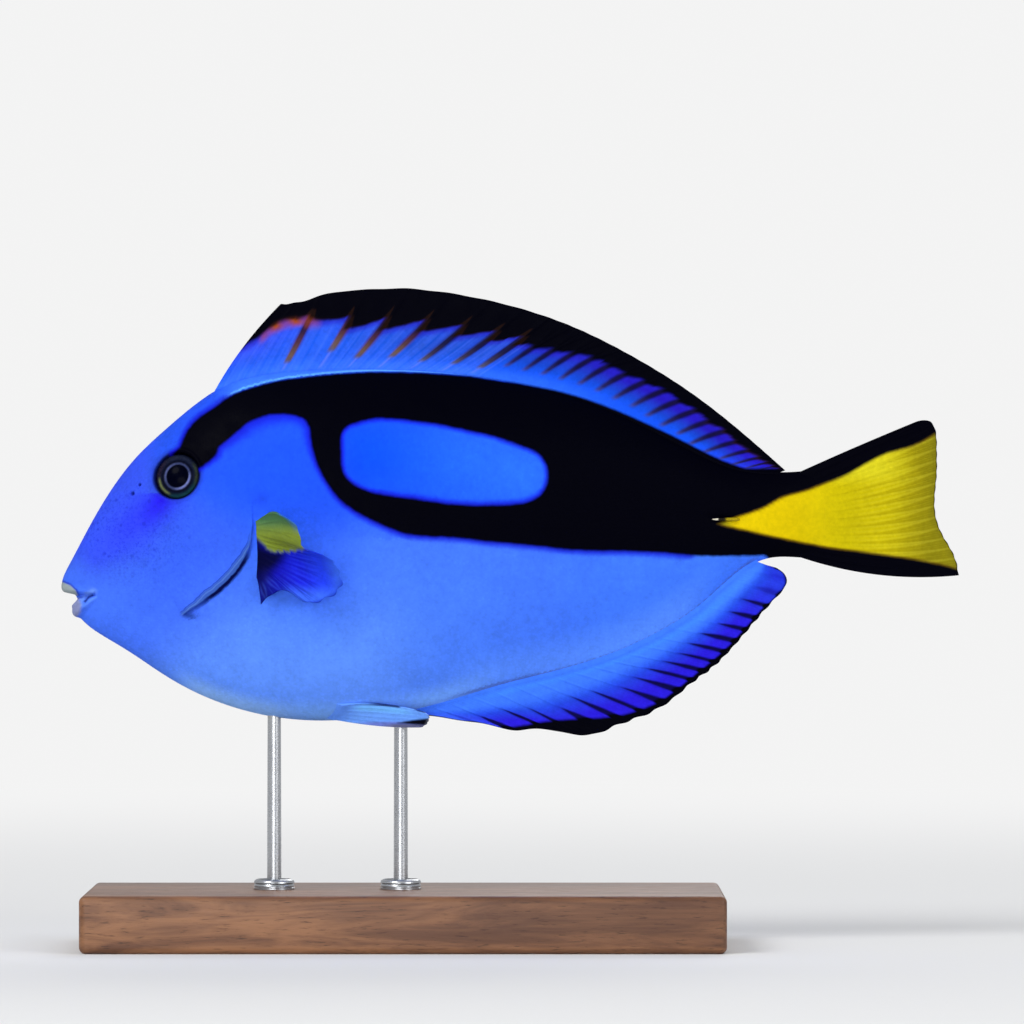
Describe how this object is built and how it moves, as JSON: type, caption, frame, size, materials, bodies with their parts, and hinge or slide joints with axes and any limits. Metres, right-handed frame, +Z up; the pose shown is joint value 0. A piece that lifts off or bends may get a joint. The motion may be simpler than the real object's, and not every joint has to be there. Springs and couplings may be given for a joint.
{
  "type": "regal blue tang model on a stand",
  "caption": "Life-size still model of a deep-bodied blue reef surgeonfish with a yellow tail, held level above a flat wooden base by slim steel rods.",
  "frame": {"origin": "underside of the stand's base, below the middle of the whole model's bounding box", "axes": "+X from the snout towards the tail, +Y towards the fish's right side, +Z up"},
  "size_m": [0.2197, 0.074, 0.1613],
  "materials": {
    "skin": "satin, vivid royal blue with black bands",
    "blue_fins": "satin, thin blue membrane with dark rays and a black edge",
    "tail_fin": "satin, bright yellow with black upper and lower edges",
    "pectoral_fins": "satin, thin dark blue membrane with a yellow upper part",
    "eyes": "clear gloss over a dark iris",
    "tail_spines": "ivory, satin",
    "stand_wood": "dark walnut, satin varnish",
    "stand_steel": "brushed"
  },
  "bodies": {
    "root": {"head": "skin", "torso": "skin", "tail_stalk": "skin", "gill_cover_left": "skin", "gill_cover_right": "skin", "dorsal_fin": "blue_fins", "anal_fin": "blue_fins", "tail_fin": "tail_fin", "pectoral_fin_left": "pectoral_fins", "pectoral_fin_right": "pectoral_fins", "pelvic_fin_left": "blue_fins", "pelvic_fin_right": "blue_fins", "eye_left": "eyes", "eye_right": "eyes", "tail_spine_left": "tail_spines", "tail_spine_right": "tail_spines", "stand_base": "stand_wood", "stand_rod_front": "stand_steel", "stand_rod_rear": "stand_steel", "stand_collar_front": "stand_steel", "stand_collar_rear": "stand_steel"}
  },
  "joints": []
}
